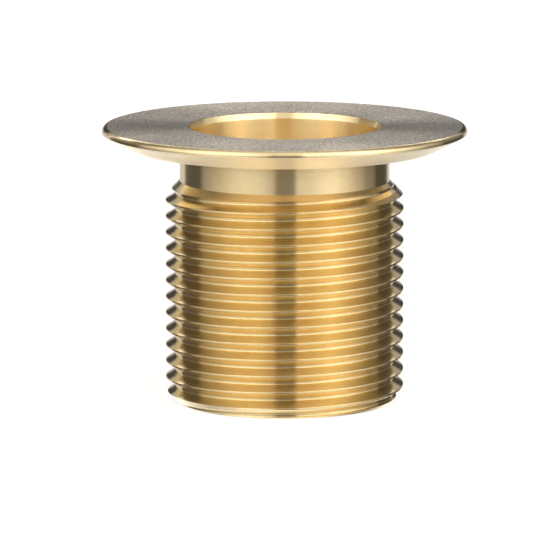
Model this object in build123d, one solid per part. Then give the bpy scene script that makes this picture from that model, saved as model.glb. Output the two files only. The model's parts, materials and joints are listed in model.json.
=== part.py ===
"""Straight-thread thru hull fitting, turned from one bar of brass.

The fitting stands on its threaded end with its flange uppermost. +Z runs up the bore, and the
origin is the centre of the threaded end face. All lengths are in millimetres.

In use the flange is outboard, its flat seat bears on the hull, the thread passes inboard through
the hull, and the bore carries the water.
"""

from build123d import *

import math
import os

# overall
LENGTH = 30.9  # threaded end face to flange face
BORE_D = 21.1
MOUTH_BREAK = 0.25  # lead-in at the flange: this much in radius
MOUTH_DEPTH = 0.7  # over this length
END_BREAK = 0.3  # 45 degree break of the bore at the threaded end

# flange
FLANGE_D = 40.7
FLANGE_EDGE_R = 0.55  # round from the flange face into the rim
RIM_DEPTH = 0.7  # flange face to the lower edge of the rim
SEAT_D = 34.1  # outer edge of the flat that bears on the hull
FLANGE_T = 2.4  # flange face to that flat

# neck between flange and thread, cut below the thread root as a tool relief
NECK_D = 23.4
NECK_FILLET_R = 0.3
NECK_END_DEPTH = 6.07  # flange face to where the neck meets the thread's start chamfer

# thread: 3/4 inch straight pipe, 14 turns to the inch, right-handed, 60 degrees
THREAD_D = 26.57
PITCH = 25.4 / 14
FLANK_ANGLE = 30.0  # half of the included angle
CREST_FLAT = PITCH / 10
ROOT_FLAT = PITCH / 6
CREST_PHASE_Z = 0.825  # height of the lowest crest on the -X side
END_FACE_D = 24.1  # outer edge of the end face, inside the 45 degree end chamfer

# how far the groove cutter stands proud of the crests, and runs past both ends of the thread
CUTTER_PROUD = 0.08
CUTTER_TURNS_PAST = 1

FLANK_SLOPE = math.tan(math.radians(FLANK_ANGLE))
THREAD_DEPTH = (PITCH - CREST_FLAT - ROOT_FLAT) / (2 * FLANK_SLOPE)
THREAD_R = THREAD_D / 2
ROOT_R = THREAD_R - THREAD_DEPTH
START_CHAMFER = (THREAD_D - NECK_D) / 2
END_CHAMFER = (THREAD_D - END_FACE_D) / 2
THREAD_TOP_Z = LENGTH - NECK_END_DEPTH


def turned_blank():
    """The bar as it leaves the turning tools, before the thread is cut: one profile revolved."""
    bore_r, flange_r, neck_r = BORE_D / 2, FLANGE_D / 2, NECK_D / 2
    seat_z = LENGTH - FLANGE_T
    with BuildPart() as blank:
        with BuildSketch(Plane.XZ):
            with BuildLine():
                Polyline(
                    (bore_r, END_BREAK),
                    (bore_r + END_BREAK, 0),
                    (END_FACE_D / 2, 0),
                    (THREAD_R, END_CHAMFER),
                    (THREAD_R, THREAD_TOP_Z - START_CHAMFER),
                    (neck_r, THREAD_TOP_Z),
                    (neck_r, seat_z - NECK_FILLET_R),
                )
                RadiusArc(
                    (neck_r, seat_z - NECK_FILLET_R),
                    (neck_r + NECK_FILLET_R, seat_z),
                    NECK_FILLET_R,
                )
                Polyline(
                    (neck_r + NECK_FILLET_R, seat_z),
                    (SEAT_D / 2, seat_z),
                    (flange_r, LENGTH - RIM_DEPTH),
                    (flange_r, LENGTH - FLANGE_EDGE_R),
                )
                RadiusArc(
                    (flange_r, LENGTH - FLANGE_EDGE_R),
                    (flange_r - FLANGE_EDGE_R, LENGTH),
                    -FLANGE_EDGE_R,
                )
                Polyline(
                    (flange_r - FLANGE_EDGE_R, LENGTH),
                    (bore_r + MOUTH_BREAK, LENGTH),
                    (bore_r, LENGTH - MOUTH_DEPTH),
                    (bore_r, END_BREAK),
                )
            make_face()
        revolve(axis=Axis.Z)
    return blank.part


def thread_groove():
    """The helical groove between the crests, a little proud of them and longer than the thread."""
    start_z = CREST_PHASE_Z + PITCH / 2 - CUTTER_TURNS_PAST * PITCH
    turns = math.ceil((THREAD_TOP_Z - start_z) / PITCH) + 1
    outer = THREAD_R + CUTTER_PROUD
    root_half = ROOT_FLAT / 2
    outer_half = root_half + (outer - ROOT_R) * FLANK_SLOPE
    path = Helix(PITCH, turns * PITCH, ROOT_R)
    with BuildPart() as groove:
        with BuildSketch(Plane.XZ):
            Polygon(
                (ROOT_R, -root_half),
                (outer, -outer_half),
                (outer, outer_half),
                (ROOT_R, root_half),
                align=None,
            )
        sweep(path=path, is_frenet=True)
    # the helix starts on +X, and the phase is given on -X
    return groove.part.rotate(Axis.Z, 180).translate((0, 0, start_z))


def hull_fitting_body():
    """The finished fitting: the turned blank with its thread cut."""
    return turned_blank() - thread_groove()


os.makedirs("parts", exist_ok=True)
body = hull_fitting_body()
export_step(body, "parts/hull_fitting_body.step")
print("volume", round(body.volume, 1), "mm3, solids", len(body.solids()), "valid", body.is_valid)
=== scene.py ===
"""Finished surfaces of a thru hull fitting turned from brass bar, with its studio.

The fitting is one turned piece. Its outside and inside are worked out here as one closed mesh: a
helical sheet for the threaded barrel, and revolved outlines for the flange, the neck, the bore and
the end face. It stands in for the plain solid of the frame. Lengths are in metres in the row
frame, +Z up the bore, unless a name ends in _MM.
"""

import json
import logging
import math
from dataclasses import dataclass, field
from enum import Enum
from typing import ClassVar

import bpy
import numpy as np
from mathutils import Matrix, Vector


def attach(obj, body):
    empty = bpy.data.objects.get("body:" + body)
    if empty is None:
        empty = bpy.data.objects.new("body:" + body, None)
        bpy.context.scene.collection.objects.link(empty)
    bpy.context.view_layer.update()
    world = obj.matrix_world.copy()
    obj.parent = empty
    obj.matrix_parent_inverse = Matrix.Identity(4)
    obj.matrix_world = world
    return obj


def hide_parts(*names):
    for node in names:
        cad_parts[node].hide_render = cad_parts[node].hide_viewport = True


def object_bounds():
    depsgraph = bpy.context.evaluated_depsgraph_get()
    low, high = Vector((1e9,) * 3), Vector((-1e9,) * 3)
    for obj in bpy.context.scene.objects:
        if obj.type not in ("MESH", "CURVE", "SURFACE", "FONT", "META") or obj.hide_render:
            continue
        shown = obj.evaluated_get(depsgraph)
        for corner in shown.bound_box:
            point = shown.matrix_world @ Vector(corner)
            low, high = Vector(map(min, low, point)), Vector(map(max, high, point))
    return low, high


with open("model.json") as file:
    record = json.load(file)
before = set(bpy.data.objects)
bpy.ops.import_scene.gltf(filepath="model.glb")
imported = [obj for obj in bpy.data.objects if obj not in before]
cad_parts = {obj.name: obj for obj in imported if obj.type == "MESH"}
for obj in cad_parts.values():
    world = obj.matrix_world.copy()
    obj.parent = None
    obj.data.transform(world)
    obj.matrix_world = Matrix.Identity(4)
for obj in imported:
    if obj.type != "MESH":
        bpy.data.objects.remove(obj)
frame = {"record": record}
CAD_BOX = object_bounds()

NODE = "hull_fitting_body"
MM = 0.001
COLUMNS = 256  # steps round the axis, shared by every surface so that they close up
WELD = 1e-8  # points closer than this are one
NOISE_LOW, NOISE_HIGH = 0.3, 0.7  # nearly all of a noise's values lie between these

log = logging.getLogger("fitting")


def mount(name: str) -> dict:
    """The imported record's mount of that name."""
    return next(m for m in frame["record"]["mounts"] if m["name"] == name)


class Zone(Enum):
    """Where on the fitting a face lies, which settles its finish."""

    FACE = 0
    RIM = 1
    BEVEL = 2
    NECK = 3
    THREAD = 4
    BORE = 5


@dataclass
class Surface:
    """Triangles with a normal at each of their corners and a zone for each triangle.

    Attributes:
        points: one row of x, y, z for each vertex.
        triangles: three vertex numbers a row, anticlockwise seen from outside.
        normals: the outward normal at each corner of each triangle.
        zones: each triangle's Zone value.
    """

    points: np.ndarray
    triangles: np.ndarray
    normals: np.ndarray
    zones: np.ndarray


@dataclass(frozen=True)
class Outline:
    """A line in the plane of radius and height, with material on its left.

    Attributes:
        points: radius and height of each point.
        normals: the unit normal there, pointing out of the metal.
        zones: the Zone value of each run from one point to the next.
    """

    points: np.ndarray
    normals: np.ndarray
    zones: np.ndarray


def rounded_outline(corners: list, radii: list, zones: list, arc_steps: int) -> Outline:
    """Straight runs between corners, each corner rounded by a tangent arc.

    An arc of radius R at a corner where the line turns by A starts and ends R tan(A/2) from the
    corner. Its normals swing evenly from one run's normal to the next run's, and each of its
    points is the arc's centre plus or minus R times that normal.

    Args:
        corners: radius and height of each corner.
        radii: the rounding of each corner that isn't an end.
        zones: the Zone of each run between corners; an arc belongs to the run before it.
        arc_steps: how many chords make an arc.

    Returns:
        The outline with its normals.
    """
    corner = np.array(corners, float)
    run = np.diff(corner, axis=0)
    run /= np.linalg.norm(run, axis=1, keepdims=True)
    out = np.stack([run[:, 1], -run[:, 0]], axis=1)
    angle = np.arctan2(out[:, 1], out[:, 0])
    turn = (np.diff(angle) + np.pi) % (2 * np.pi) - np.pi
    share = np.linspace(0, 1, arc_steps + 1)
    swing = angle[:-1, None] + turn[:, None] * share
    normal = np.stack([np.cos(swing), np.sin(swing)], axis=2)
    radius = np.array(radii, float)
    side = np.sign(turn) * radius
    start = corner[1:-1] - run[:-1] * (radius * np.tan(np.abs(turn) / 2))[:, None]
    centre = start - out[:-1] * side[:, None]
    arcs = centre[:, None] + normal * side[:, None, None]
    count = arc_steps + 1
    zone = np.array([z.value for z in zones])
    return Outline(
        np.concatenate([corner[:1], arcs.reshape(-1, 2), corner[-1:]]),
        np.concatenate([out[:1], normal.reshape(-1, 2), out[-1:]]),
        np.concatenate([np.repeat(zone[:-1], count), zone[-1:]]),
    )


def directions(azimuth: np.ndarray) -> tuple:
    """Unit vectors away from the axis and round it, at each azimuth."""
    nought = np.zeros_like(azimuth)
    away = np.stack([np.cos(azimuth), np.sin(azimuth), nought], axis=-1)
    round_it = np.stack([-np.sin(azimuth), np.cos(azimuth), nought], axis=-1)
    return away, round_it


def revolve(outline: Outline) -> Surface:
    """The outline carried once round the axis.

    The point at outline position s and azimuth A is (r(s) cos A, r(s) sin A, z(s)), and its
    normal is the outline's normal turned by the same azimuth.

    Args:
        outline: the line to carry round.

    Returns:
        A band of triangles that closes on itself.
    """
    rows = len(outline.points)
    azimuth = np.arange(COLUMNS) * 2 * np.pi / COLUMNS
    away, _ = directions(azimuth)
    up = np.array([0.0, 0.0, 1.0])
    points = outline.points[:, None, :1] * away + outline.points[:, None, 1:] * up
    normals = outline.normals[:, None, :1] * away + outline.normals[:, None, 1:] * up
    number = np.arange(rows * COLUMNS).reshape(rows, COLUMNS)
    ahead = np.roll(number, -1, axis=1)
    a, b, c, d = number[:-1], ahead[:-1], ahead[1:], number[1:]
    quads = np.stack([a, b, c, a, c, d], axis=-1).reshape(-1, 3)
    zones = np.repeat(outline.zones, 2 * COLUMNS)
    return Surface(points.reshape(-1, 3), quads, normals.reshape(-1, 3)[quads], zones)


def join(parts: list) -> Surface:
    """One surface from several, with points that coincide made one and empty triangles dropped.

    Args:
        parts: the surfaces to put together.

    Returns:
        The joined surface.
    """
    firsts = np.cumsum([0] + [len(p.points) for p in parts[:-1]])
    points = np.concatenate([p.points for p in parts])
    triangles = np.concatenate([p.triangles + n for p, n in zip(parts, firsts)])
    normals = np.concatenate([p.normals for p in parts])
    zones = np.concatenate([p.zones for p in parts])
    keys = np.round(points / WELD).astype(np.int64)
    _, first, same = np.unique(keys, axis=0, return_index=True, return_inverse=True)
    triangles = same.ravel()[triangles]
    whole = (triangles != np.roll(triangles, 1, axis=1)).all(axis=1)
    return Surface(points[first], triangles[whole], normals[whole], zones[whole])


@dataclass(frozen=True)
class Thread:
    """The threaded barrel: a right-handed 60 degree thread between two 45 degree chamfers.

    Attributes:
        pitch: one turn's rise, 14 turns to the inch.
        crest_r: radius over the crests.
        crest_flat, root_flat: lengths of the flats along the axis.
        crest_round, root_round: radii of the flats' edges.
        crest_z: height of the lowest crest on the -X side.
        top_r, top_z: where the start chamfer meets the neck.
        end_r: where the end chamfer meets the end face.
        flank_angle: a flank's lean from square to the axis, in degrees.
        turns_below, turns_above: turns of the helix past each end, there to be cut back.
        flank_steps: rows of faces on a flank.
        arc_steps: rows of faces on an edge's rounding.
    """

    pitch: float = 25.4 / 14 * MM
    crest_r: float = mount("hull_thread")["dims"]["r_mm"] * MM
    crest_flat: float = 25.4 / 14 / 10 * MM
    root_flat: float = 25.4 / 14 / 6 * MM
    crest_round: float = 0.06 * MM
    root_round: float = 0.16 * MM
    crest_z: float = 0.825 * MM
    top_r: float = 11.7 * MM
    top_z: float = 24.83 * MM
    end_r: float = 12.05 * MM
    flank_angle: float = 30.0
    turns_below: int = 2
    turns_above: int = 2
    flank_steps: int = 3
    arc_steps: int = 3

    def one_turn(self) -> Outline:
        """The line along one pitch, from the middle of a root up to the next, without its end."""
        slope = math.tan(math.radians(self.flank_angle))
        depth = (self.pitch - self.crest_flat - self.root_flat) / (2 * slope)
        root_r = self.crest_r - depth
        flank = depth * slope
        low = self.root_flat / 2
        corners = [
            (root_r, 0),
            (root_r, low),
            (self.crest_r, low + flank),
            (self.crest_r, low + flank + self.crest_flat),
            (root_r, self.pitch - low),
            (root_r, self.pitch),
        ]
        radii = [self.root_round, self.crest_round, self.crest_round, self.root_round]
        line = rounded_outline(corners, radii, [Zone.THREAD] * 5, self.arc_steps)
        return self.with_flank_rows(line)

    def with_flank_rows(self, line: Outline) -> Outline:
        """The same line with each flank's run split evenly into flank_steps."""
        length = np.linalg.norm(np.diff(line.points, axis=0), axis=1)
        parts = np.where(length > self.pitch / 4, self.flank_steps, 1)
        at = np.repeat(np.arange(len(length)), parts)
        step = np.arange(len(at)) - np.repeat(np.cumsum(parts) - parts, parts)
        share = (step / parts[at])[:, None]
        points = line.points[at] * (1 - share) + line.points[at + 1] * share
        normals = line.normals[at] * (1 - share) + line.normals[at + 1] * share
        return Outline(points, normals, line.zones[at])

    def limit(self, height: np.ndarray) -> np.ndarray:
        """The radius that the two chamfers leave at each height: both slope at 45 degrees."""
        return np.minimum(self.top_r + self.top_z - height, self.end_r + height)

    def surface(self) -> Surface:
        """The helical sheet, cut back to the chamfers.

        At azimuth A, row s lies at radius r(s) and height z(s) + pitch A / (2 pi). A row past a
        chamfer moves onto it: the row next to the thread to where the profile line crosses the
        chamfer line, the others straight in to the chamfer. Rows past an end lie on its circle.

        Returns:
            The barrel's outside, from the end face's edge to the neck.
        """
        turn = self.one_turn()
        rows = len(turn.points)
        turns = math.ceil(self.top_z / self.pitch) + self.turns_below + self.turns_above
        rise = np.repeat(np.arange(turns) - self.turns_below, rows) * self.pitch
        line_r = np.tile(turn.points[:, 0], turns)
        line_z = np.tile(turn.points[:, 1], turns) + rise
        normal = np.tile(turn.normals, (turns, 1))
        # the crest's middle is half a pitch above a root's, and half a turn past azimuth 0
        line_z = line_z + self.crest_z - self.pitch
        share = np.arange(COLUMNS) / COLUMNS
        z = line_z[:, None] + self.pitch * share
        r = np.broadcast_to(line_r[:, None], z.shape)
        r, z, n, cut = self.cut_back(r, z, normal)
        below, above = z <= 0, z >= self.top_z
        z = np.clip(z, 0, self.top_z)
        r = np.where(below, self.end_r, np.where(above, self.top_r, r))
        return self.sheet(r, z, n, cut | below | above, rows)

    def cut_back(self, r: np.ndarray, z: np.ndarray, normal: np.ndarray) -> tuple:
        """Moves rows that stand past a chamfer onto it.

        Args:
            r: radius of each row and column.
            z: height of each row and column.
            normal: each row's normal in the plane of radius and height.

        Returns:
            New radius, height and normal arrays, and which points lie on a chamfer.
        """
        over = r - self.limit(z)
        cut = over > 0
        n = np.broadcast_to(normal[:, None], (*r.shape, 2)).copy()
        new_r = np.where(cut, self.limit(z), r)
        new_z = z.copy()
        for step in (1, -1):
            beside_over, beside_r = np.roll(over, step, axis=0), np.roll(r, step, axis=0)
            beside_z, beside_n = np.roll(z, step, axis=0), np.roll(n, step, axis=0)
            meets = cut & (beside_over <= 0)
            share = np.where(meets, over / np.where(meets, over - beside_over, 1), 0)
            new_r = np.where(meets, r + (beside_r - r) * share, new_r)
            new_z = np.where(meets, z + (beside_z - z) * share, new_z)
            n = np.where(meets[..., None], beside_n, n)
        return new_r, new_z, n, cut

    def sheet(
        self, r: np.ndarray, z: np.ndarray, n: np.ndarray, cut: np.ndarray, rows: int
    ) -> Surface:
        """Triangles over the grid of rows and columns, one pitch up where the last column ends.

        The normal of a helical surface leans along the helix: away times n_r, plus up times n_z,
        less round times n_z pitch / (2 pi r). On a chamfer it is the cone's.

        Args:
            r: radius of each row and column.
            z: height of each row and column.
            n: normal of each in the plane of radius and height.
            cut: which points lie on a chamfer or past an end.
            rows: how many rows make one pitch.

        Returns:
            The sheet, with empty triangles still in it.
        """
        azimuth = np.arange(COLUMNS) * 2 * np.pi / COLUMNS
        away, round_it = directions(np.broadcast_to(azimuth, r.shape))
        up = np.array([0.0, 0.0, 1.0])
        points = (r[..., None] * away + z[..., None] * up).reshape(-1, 3)
        lean = -n[..., 1] * self.pitch / (2 * np.pi * r)
        helical = n[..., :1] * away + n[..., 1:] * up + lean[..., None] * round_it
        helical /= np.linalg.norm(helical, axis=2, keepdims=True)
        tilt = np.where(z > self.top_z / 2, 1.0, -1.0)[..., None]
        conical = (away + tilt * up) / math.sqrt(2)
        number = np.arange(r.size).reshape(r.shape)
        ahead = np.concatenate([number[:-rows, 1:], number[rows:, :1]], axis=1)
        here = number[:-rows]
        a, b, c, d = here[:-1], ahead[:-1], ahead[1:], here[1:]
        flag = cut.reshape(-1)
        # a cell is halved along the diagonal that the chamfer's edge runs along
        other = flag[b] & flag[d] & ~(flag[a] & flag[c])
        plain = np.stack([a, b, c, a, c, d], axis=-1)
        crossed = np.stack([a, b, d, b, c, d], axis=-1)
        triangles = np.where(other[..., None], crossed, plain).reshape(-1, 3)
        on_cone = flag[triangles].all(axis=1)[:, None, None]
        cone, helix = conical.reshape(-1, 3)[triangles], helical.reshape(-1, 3)[triangles]
        corner = np.where(on_cone, cone, helix)
        zones = np.where(on_cone[:, 0, 0], Zone.NECK.value, Zone.THREAD.value)
        return Surface(points, triangles, corner, zones)


@dataclass(frozen=True)
class Flange:
    """The flange and neck outside, from the thread's start chamfer out to the flange face.

    Attributes:
        neck_r: radius of the relief neck.
        seat_z: height of the flat that bears on the hull.
        seat_r: outer edge of that flat.
        rim_r: the flange's outer radius.
        rim_z: lower edge of the rim, where the bevel starts.
        face_z: height of the flange face.
        neck_round, seat_round, rim_round, face_round: edge radii from the neck out.
        arc_steps: rows of faces on each rounding.
    """

    neck_r: float = 11.7 * MM
    seat_z: float = mount("hull_seat")["pos_m"][2]
    seat_r: float = 17.05 * MM
    rim_r: float = CAD_BOX[1].x
    rim_z: float = CAD_BOX[1].z - 0.7 * MM
    face_z: float = CAD_BOX[1].z
    neck_round: float = 0.3 * MM
    seat_round: float = 0.12 * MM
    rim_round: float = 0.1 * MM
    face_round: float = 0.55 * MM
    arc_steps: int = 8

    def corners(self) -> list:
        """Radius and height of each corner from the neck's foot to the middle of the face."""
        return [
            (self.neck_r, self.seat_z),
            (self.seat_r, self.seat_z),
            (self.rim_r, self.rim_z),
            (self.rim_r, self.face_z),
        ]

    def radii(self) -> list:
        """The rounding of each of those corners."""
        return [self.neck_round, self.seat_round, self.rim_round, self.face_round]


@dataclass(frozen=True)
class Bore:
    """The water passage, with its lead-in at the flange and its break at the threaded end.

    Attributes:
        wall_r: the bore's radius.
        mouth_extra, mouth_depth: the lead-in's width and length.
        end_break: the 45 degree break at the threaded end.
        mouth_round, throat_round, end_round: edge radii from the flange face down.
    """

    wall_r: float = mount("bore")["dims"]["r_mm"] * MM
    mouth_extra: float = 0.25 * MM
    mouth_depth: float = 0.7 * MM
    end_break: float = 0.3 * MM
    mouth_round: float = 0.1 * MM
    throat_round: float = 0.3 * MM
    end_round: float = 0.05 * MM

    def corners(self, face_z: float) -> list:
        """Radius and height of each corner from the flange face down to the end face."""
        return [
            (self.wall_r + self.mouth_extra, face_z),
            (self.wall_r, face_z - self.mouth_depth),
            (self.wall_r, self.end_break),
            (self.wall_r + self.end_break, 0.0),
        ]

    def radii(self) -> list:
        """The rounding of each of those corners."""
        return [self.mouth_round, self.throat_round, self.end_round, self.end_round]


def linear(code: str) -> tuple:
    """A colour's linear values, with alpha 1, from its sRGB hex code."""
    values = [int(code[i : i + 2], 16) / 255 for i in (1, 3, 5)]
    return (*(v / 12.92 if v <= 0.04045 else ((v + 0.055) / 1.055) ** 2.4 for v in values), 1.0)


def add_node(tree: bpy.types.NodeTree, kind: str, settings: dict, links: dict) -> bpy.types.Node:
    """Adds a node to a tree.

    Args:
        tree: the tree that gets it.
        kind: the node's type name.
        settings: properties by name, and input values by socket name or number.
        links: the socket that feeds each named or numbered input.

    Returns:
        The new node.
    """
    node = tree.nodes.new(kind)
    for name, value in settings.items():
        if isinstance(name, str) and hasattr(node, name):
            setattr(node, name, value)
        else:
            node.inputs[name].default_value = value
    for name, source in links.items():
        tree.links.new(source, node.inputs[name])
    return node


@dataclass(frozen=True)
class BrassFinish:
    """Free-machining brass as a cutting tool leaves it: bright metal with marks round the axis.

    The marks are rings in radius and height. They blur what is reflected across them and keep it
    sharp along them, so the highlight is stretched across the marks.

    Attributes:
        name: the material's name.
        bright, dull: sRGB of the metal where it is cleanest and where it is most worn or stained;
            the face's pair also carries painted shade, and the bevel's and bore's pairs carry
            painted light.
        roughness: how much the marks blur.
        roughness_swing: how far the roughness differs from mark to mark.
        stretch: how much more they blur across than along.
        feed_mm: distance from one mark to the next.
        mark_depth_mm: depth of the marks.
        grain_mm: size of the fine speckle of torn metal and dust.
        mark_share, grain_share: how far the marks and the speckle take the colour to dull.
        cloud_mm: size of the faint stains.
    """

    name: str
    bright: str
    dull: str
    roughness: float
    roughness_swing: float
    stretch: float
    feed_mm: float
    mark_depth_mm: float
    mark_share: float
    grain_mm: float
    grain_share: float
    cloud_mm: float

    def material(self) -> bpy.types.Material:
        """Builds the material from the values above."""
        made = bpy.data.materials.new(self.name)
        made.use_nodes = True
        tree = made.node_tree
        tree.nodes.clear()
        place = add_node(tree, "ShaderNodeTexCoord", {}, {}).outputs["Object"]
        split = add_node(tree, "ShaderNodeSeparateXYZ", {}, {0: place})
        level = {"operation": "MULTIPLY", 1: (1, 1, 0)}
        flat = add_node(tree, "ShaderNodeVectorMath", level, {0: place}).outputs[0]
        radius = add_node(tree, "ShaderNodeVectorMath", {"operation": "LENGTH"}, {0: flat})
        ring = add_node(
            tree, "ShaderNodeCombineXYZ", {}, {0: radius.outputs["Value"], 2: split.outputs[2]}
        )
        marks = self.noise(tree, ring.outputs[0], self.feed_mm, 2.0)
        grain = self.noise(tree, place, self.grain_mm, 2.0)
        cloud = self.noise(tree, place, self.cloud_mm, 4.0)
        share = None
        for source, weight in ((marks, self.mark_share), (grain, self.grain_share), (cloud, 1.0)):
            start = (0.5 if share is None else 0.0) - weight / 2
            weighed = {"operation": "MULTIPLY_ADD", 1: weight, 2: start}
            term = add_node(tree, "ShaderNodeMath", weighed, {0: source})
            if share is None:
                share = term.outputs[0]
            else:
                total = add_node(tree, "ShaderNodeMath", {}, {0: share, 1: term.outputs[0]})
                share = total.outputs[0]
        colour = add_node(
            tree,
            "ShaderNodeMix",
            {"data_type": "RGBA", 6: linear(self.bright), 7: linear(self.dull)},
            {0: share},
        )
        low, high = self.roughness - self.roughness_swing, self.roughness + self.roughness_swing
        spread = {1: NOISE_LOW, 2: NOISE_HIGH, 3: low, 4: high}
        rough = add_node(tree, "ShaderNodeMapRange", spread, {0: marks})
        height = add_node(
            tree,
            "ShaderNodeBump",
            {"Strength": 1.0, "Distance": self.mark_depth_mm * MM},
            {"Height": marks},
        )
        # the Tangent node points round the axis; a quarter turn takes the stretch across the marks
        tangent = add_node(tree, "ShaderNodeTangent", {"direction_type": "RADIAL", "axis": "Z"}, {})
        metal = add_node(
            tree,
            "ShaderNodeBsdfPrincipled",
            {"Metallic": 1.0, "Anisotropic": self.stretch, "Anisotropic Rotation": 0.25},
            {
                "Base Color": colour.outputs[2],
                "Roughness": rough.outputs[0],
                "Normal": height.outputs[0],
                "Tangent": tangent.outputs[0],
            },
        )
        add_node(tree, "ShaderNodeOutputMaterial", {}, {0: metal.outputs[0]})
        return made

    @staticmethod
    def noise(
        tree: bpy.types.NodeTree, place: bpy.types.NodeSocket, size_mm: float, detail: float
    ) -> bpy.types.NodeSocket:
        """Noise whose features are size_mm across, as the socket of its value from 0 to 1."""
        settings = {"Scale": 1 / (size_mm * MM), "Detail": detail}
        return add_node(tree, "ShaderNodeTexNoise", settings, {"Vector": place}).outputs[0]


# The finishes differ in the tool that cut them, in roughness, stretch and marks. Their colours are
# one brass with painted light and shade:
# the face's greyer colours are painted shade for the dim surroundings it reflects, and its speckle
# is grain; the bevel's and bore's paler colours are painted light; the others are bright. Marks
# finer than about 0.2 mm are too fine to show, so they are drawn that coarse.
FINISHES = {
    # painted shade: the face's grey, darkened colours stand for the dim surroundings its metal
    # reflects; the speckle is grain
    Zone.FACE: BrassFinish(
        name="faced_brass_painted_shade",
        bright="#D2C8BA",
        dull="#857B6E",
        roughness=0.5,
        roughness_swing=0.04,
        stretch=0.85,
        feed_mm=0.3,
        mark_depth_mm=0.0005,
        mark_share=0.0,
        grain_mm=0.24,
        grain_share=4.0,
        cloud_mm=9.0,
    ),
    Zone.RIM: BrassFinish(
        name="rim_brass",
        bright="#F1DCB0",
        dull="#DDC08A",
        roughness=0.2,
        roughness_swing=0.03,
        stretch=1.0,
        feed_mm=0.22,
        mark_depth_mm=0.0005,
        mark_share=0.3,
        grain_mm=0.5,
        grain_share=0.5,
        cloud_mm=5.0,
    ),
    # painted light: the bevel's paler, brighter colours stand for the bright surroundings it
    # reflects
    Zone.BEVEL: BrassFinish(
        name="bevelled_brass_painted_light",
        bright="#FAECCC",
        dull="#EBD3A6",
        roughness=0.34,
        roughness_swing=0.05,
        stretch=1.0,
        feed_mm=0.22,
        mark_depth_mm=0.0005,
        mark_share=0.3,
        grain_mm=0.5,
        grain_share=0.5,
        cloud_mm=5.0,
    ),
    Zone.NECK: BrassFinish(
        name="turned_brass",
        bright="#F1DCB0",
        dull="#DDC08A",
        roughness=0.24,
        roughness_swing=0.03,
        stretch=1.0,
        feed_mm=0.22,
        mark_depth_mm=0.0005,
        mark_share=0.3,
        grain_mm=0.5,
        grain_share=0.5,
        cloud_mm=5.0,
    ),
    Zone.THREAD: BrassFinish(
        name="threaded_brass",
        bright="#F3DDAA",
        dull="#E2C488",
        roughness=0.2,
        roughness_swing=0.03,
        stretch=1.0,
        feed_mm=0.2,
        mark_depth_mm=0.0005,
        mark_share=0.3,
        grain_mm=0.5,
        grain_share=0.5,
        cloud_mm=4.0,
    ),
    # painted light: the bore's paler, brighter colours stand for the overhead light that the wall
    # reflects
    Zone.BORE: BrassFinish(
        name="bored_brass_painted_light",
        bright="#FCE8B8",
        dull="#F5D99E",
        roughness=0.24,
        roughness_swing=0.02,
        stretch=1.0,
        feed_mm=0.25,
        mark_depth_mm=0.0002,
        mark_share=0.1,
        grain_mm=0.5,
        grain_share=0.5,
        cloud_mm=6.0,
    ),
}


@dataclass
class HullFitting:
    """The whole fitting: its parts' surfaces joined into one closed piece."""

    thread: Thread = field(default_factory=Thread)
    flange: Flange = field(default_factory=Flange)
    bore: Bore = field(default_factory=Bore)

    def turned_surface(self) -> Surface:
        """Everything but the thread, as one outline carried round the axis."""
        flange, bore = self.flange, self.bore
        corners = [
            (self.thread.top_r, self.thread.top_z),
            *flange.corners(),
            *bore.corners(flange.face_z),
            (self.thread.end_r, 0.0),
        ]
        zones = [Zone.NECK, Zone.NECK, Zone.BEVEL, Zone.RIM, Zone.FACE]
        zones += [Zone.BORE] * 3 + [Zone.NECK]
        radii = flange.radii() + bore.radii()
        return revolve(rounded_outline(corners, radii, zones, flange.arc_steps))

    def build(self) -> bpy.types.Object:
        """Makes the piece, dresses it and sets it in the frame in place of the plain solid."""
        surface = join([self.thread.surface(), self.turned_surface()])
        mesh = bpy.data.meshes.new("hull_fitting")
        mesh.vertices.add(len(surface.points))
        mesh.vertices.foreach_set("co", surface.points.astype(np.float32).ravel())
        count = len(surface.triangles)
        mesh.loops.add(3 * count)
        mesh.loops.foreach_set("vertex_index", surface.triangles.astype(np.int32).ravel())
        mesh.polygons.add(count)
        mesh.polygons.foreach_set("loop_start", np.arange(count, dtype=np.int32) * 3)
        mesh.polygons.foreach_set("use_smooth", np.ones(count, bool))
        for finish in FINISHES.values():
            mesh.materials.append(finish.material())
        mesh.polygons.foreach_set("material_index", surface.zones.astype(np.int32))
        mesh.update(calc_edges=True)
        if mesh.validate():
            log.warning("the mesh had faults that were mended")
        mesh.normals_split_custom_set(surface.normals.reshape(-1, 3))
        piece = bpy.data.objects.new("hull_fitting", mesh)
        bpy.context.scene.collection.objects.link(piece)
        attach(piece, "root")
        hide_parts(NODE)
        log.info("hull_fitting: %d triangles", count)
        return piece


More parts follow.
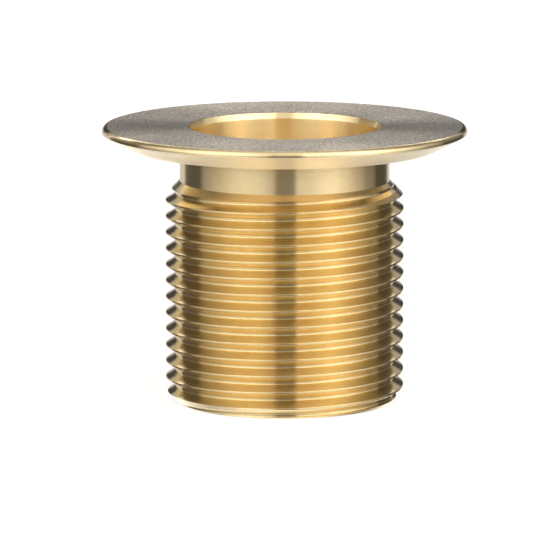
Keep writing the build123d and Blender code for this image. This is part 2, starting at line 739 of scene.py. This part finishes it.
@dataclass(frozen=True)
class Studio:
    """A plain pale floor, the soft surroundings that the metal reflects, and the camera.

    Azimuths are in degrees from the camera's side, positive towards +X.

    Attributes:
        floor_side: the floor's side.
        elevation, distance: the camera's angle above the level and its distance from the middle.
        middle_z: height of the point that the distance is taken from.
        aim_x, aim_up: how far the camera looks from that point, to its right and up.
        lens_mm: focal length on a 36 mm sensor.
        floor_glow: how bright the floor is of itself.
        gap_level: brightness of the unlit strip behind.
    """

    floor_side: float = 20.0
    elevation: float = 9.505
    distance: float = 0.641
    middle_z: float = 0.01476
    aim_x: float = -0.515 * MM
    aim_up: float = -1.276 * MM
    lens_mm: float = 368.7
    floor_glow: float = 0.72
    gap_level: float = 0.05
    # brightness, or share, at an azimuth in degrees or at a height from -1 to 1
    PANELS: ClassVar[tuple] = (
        (-180, 1.5),
        (-146, 1.5),
        (-142, 0.1),
        (-106, 0.1),
        (-102, 0.32),
        (-77, 0.56),
        (-62, 0.76),
        (-48, 0.84),
        (-36, 0.81),
        (-26, 0.74),
        (-12, 0.5),
        (-8.5, 0.2),
        (11, 0.2),
        (13, 0.65),
        (30, 0.76),
        (40, 0.9),
        (55, 1.05),
        (70, 0.87),
        (79, 0.72),
        (88, 0.52),
        (97, 0.42),
        (101.5, 0.27),
        (117, 0.24),
        (119.5, 0.08),
        (154.5, 0.08),
        (158, 1.5),
    )
    GAIN: ClassVar[tuple] = ((-1, 1), (0.05, 1), (0.2, 3))
    LAMPS: ClassVar[tuple] = (
        (-180, 0.4),
        (-152, 0.4),
        (-146, 0.25),
        (-106, 0.25),
        (-102, 0.8),
        (-77, 1.2),
        (-40, 2.3),
        (-30, 2.0),
        (-19, 1.6),
        (-11, 1.4),
        (-8.5, 1.35),
        (11, 1.35),
        (13, 1.8),
        (25, 2.1),
        (55, 2.2),
        (70, 1.8),
        (80, 1.35),
        (88, 1.0),
        (97, 0.75),
        (101.5, 0.35),
        (118.5, 0.35),
        (121, 0.25),
        (152, 0.25),
        (158, 0.35),
        (180, 0.4),
    )
    LAMP_SHARE: ClassVar[tuple] = ((-1, 0), (0.48, 0), (0.56, 1))
    PLAIN: ClassVar[tuple] = ((-1, 1.8), (-0.7, 1.0), (0.7, 0.9), (1, 0.9))
    PLAIN_SHARE: ClassVar[tuple] = ((-1, 1), (-0.75, 0), (0.85, 0), (0.95, 1))
    BEHIND: ClassVar[tuple] = ((-180, 1), (-146, 1), (-144, 0), (153, 0), (155, 1), (180, 1))
    BACKDROP: ClassVar[tuple] = ((-1, 1.2), (-0.35, 1.9), (-0.22, 0.75), (0.02, 0.75), (0.06, 0.5))
    BACKDROP_SHARE: ClassVar[tuple] = ((-1, 1), (0.4, 1), (0.5, 0))
    GAP_WIDTH: ClassVar[tuple] = ((-180, 1), (-159, 1), (-155, 0), (155, 0), (159, 1), (180, 1))
    GAP_HEIGHT: ClassVar[tuple] = ((-1, 0), (0.01, 0), (0.05, 1), (0.25, 1), (0.28, 0))

    def floor(self) -> None:
        """A flat pale sheet that the fitting stands on, part lit and part glowing."""
        half = self.floor_side / 2
        mesh = bpy.data.meshes.new("studio_floor")
        corners = [(-half, -half, 0), (half, -half, 0), (half, half, 0), (-half, half, 0)]
        mesh.from_pydata(corners, [], [(0, 1, 2, 3)])
        sheet = bpy.data.objects.new("studio_floor", mesh)
        made = bpy.data.materials.new("pale_paper")
        made.use_nodes = True
        paper = made.node_tree.nodes["Principled BSDF"]
        paper.inputs["Base Color"].default_value = linear("#A8A8A8")
        paper.inputs["Roughness"].default_value = 1.0
        paper.inputs["Specular IOR Level"].default_value = 0.0
        paper.inputs["Emission Color"].default_value = linear("#FFFFFF")
        paper.inputs["Emission Strength"].default_value = self.floor_glow
        mesh.materials.append(made)
        bpy.context.scene.collection.objects.link(sheet)
        # the metal reflects the soft surroundings below the level too, and not the paper
        sheet.visible_glossy = False

    def surroundings(self) -> None:
        """Broad white panels with dark gaps between them, as brightness by azimuth and height.

        Panels stand all round, brighter higher up. Over them in front are soft lamps, and the
        rest of the room is dim. Overhead and underfoot are plain. Straight behind the fitting the
        backdrop is brightest, with an unlit strip just above the level.
        """
        world = bpy.data.worlds.new("studio")
        world.use_nodes = True
        tree = world.node_tree
        tree.nodes.clear()
        way = add_node(tree, "ShaderNodeTexCoord", {}, {}).outputs["Generated"]
        split = add_node(tree, "ShaderNodeSeparateXYZ", {}, {0: way})
        east, north, height = split.outputs
        front = add_node(tree, "ShaderNodeMath", {"operation": "MULTIPLY", 1: -1.0}, {0: north})
        azimuth = add_node(
            tree, "ShaderNodeMath", {"operation": "ARCTAN2"}, {0: east, 1: front.outputs[0]}
        )
        turn = {"operation": "MULTIPLY_ADD", 1: 1 / (2 * math.pi), 2: 0.5}
        share = add_node(tree, "ShaderNodeMath", turn, {0: azimuth.outputs[0]}).outputs[0]
        half = {"operation": "MULTIPLY_ADD", 1: 0.5, 2: 0.5}
        rise = add_node(tree, "ShaderNodeMath", half, {0: height}).outputs[0]
        low = self.ramp(tree, share, self.PANELS, -180, 180)
        gain = self.ramp(tree, rise, self.GAIN, -1, 1)
        product = {"operation": "MULTIPLY"}
        panels = add_node(tree, "ShaderNodeVectorMath", product, {0: low, 1: gain})
        lamps = self.ramp(tree, share, self.LAMPS, -180, 180)
        light = self.blend(tree, rise, self.LAMP_SHARE, panels.outputs[0], lamps)
        plain = self.ramp(tree, rise, self.PLAIN, -1, 1)
        light = self.blend(tree, rise, self.PLAIN_SHARE, light, plain)
        backdrop = self.ramp(tree, rise, self.BACKDROP, -1, 1)
        over = self.blend(tree, rise, self.BACKDROP_SHARE, light, backdrop)
        behind = self.ramp(tree, share, self.BEHIND, -180, 180)
        around = self.mix(tree, behind, light, over)
        gap = add_node(
            tree,
            "ShaderNodeMath",
            product,
            {
                0: self.ramp(tree, share, self.GAP_WIDTH, -180, 180),
                1: self.ramp(tree, rise, self.GAP_HEIGHT, -1, 1),
            },
        )
        dark = self.ramp(tree, rise, ((-1, self.gap_level),), -1, 1)
        whole = self.mix(tree, gap.outputs[0], around, dark)
        seen = add_node(tree, "ShaderNodeLightPath", {}, {}).outputs["Is Camera Ray"]
        white = self.ramp(tree, rise, ((-1, 1.0),), -1, 1)
        shown = self.mix(tree, seen, whole, white)
        back = add_node(tree, "ShaderNodeBackground", {}, {"Color": shown})
        add_node(tree, "ShaderNodeOutputWorld", {}, {0: back.outputs[0]})
        bpy.context.scene.world = world

    def blend(
        self,
        tree: bpy.types.NodeTree,
        rise: bpy.types.NodeSocket,
        stops: tuple,
        under: bpy.types.NodeSocket,
        over: bpy.types.NodeSocket,
    ) -> bpy.types.NodeSocket:
        """One light laid over another, by a share that follows height.

        Args:
            tree: the tree that gets it.
            rise: the socket with half of the height plus a half.
            stops: heights, each with the share of the light laid over.
            under: the socket of the light below.
            over: the socket of the light laid over it.

        Returns:
            The socket of the result.
        """
        return self.mix(tree, self.ramp(tree, rise, stops, -1, 1), under, over)

    @staticmethod
    def mix(
        tree: bpy.types.NodeTree,
        share: bpy.types.NodeSocket,
        under: bpy.types.NodeSocket,
        over: bpy.types.NodeSocket,
    ) -> bpy.types.NodeSocket:
        """The socket of two colours mixed, with the given share of the second."""
        mix = add_node(tree, "ShaderNodeMix", {"data_type": "RGBA"}, {0: share, 6: under, 7: over})
        return mix.outputs[2]

    @staticmethod
    def ramp(
        tree: bpy.types.NodeTree, share: bpy.types.NodeSocket, stops: tuple, low: float, high: float
    ) -> bpy.types.NodeSocket:
        """A colour ramp of grey levels.

        Args:
            tree: the tree that gets it.
            share: the socket with the place along the ramp, from 0 to 1.
            stops: places from low to high, each with its level; the first is at low.
            low: the place at the ramp's start.
            high: the place at the ramp's end.

        Returns:
            The socket of the grey.
        """
        node = add_node(tree, "ShaderNodeValToRGB", {}, {0: share})
        elements = node.color_ramp.elements
        elements.remove(elements[1])
        for number, (place, level) in enumerate(stops):
            position = (place - low) / (high - low)
            stop = elements.new(position) if number else elements[0]
            stop.position = position
            stop.color = (level, level, level, 1)
        return node.outputs[0]

    def camera(self) -> None:
        """The camera, a long way off with a long lens, a little above the flange."""
        angle = math.radians(self.elevation)
        back = Vector((0, -math.cos(angle), math.sin(angle)))
        up = Vector((0, math.sin(angle), math.cos(angle)))
        middle = Vector((0, 0, self.middle_z))
        data = bpy.data.cameras.new("camera")
        data.lens = self.lens_mm
        data.sensor_width = 36.0
        data.clip_start = 0.01
        camera = bpy.data.objects.new("camera", data)
        camera.location = middle + back * self.distance
        aim = middle + Vector((self.aim_x, 0, 0)) + up * self.aim_up
        camera.rotation_euler = (aim - camera.location).to_track_quat("-Z", "Y").to_euler()
        bpy.context.scene.collection.objects.link(camera)
        bpy.context.scene.camera = camera

    def build(self) -> None:
        """Sets up the floor, the light and the camera, with plain display colours."""
        self.camera()
        self.floor()
        self.surroundings()
        bpy.context.scene.view_settings.view_transform = "Standard"


def main() -> None:
    """Builds the studio and the fitting, and reports the piece."""
    logging.basicConfig(level=logging.INFO, format="%(name)s: %(message)s")
    Studio().build()
    HullFitting().build()


if __name__ == "__main__":
    main()
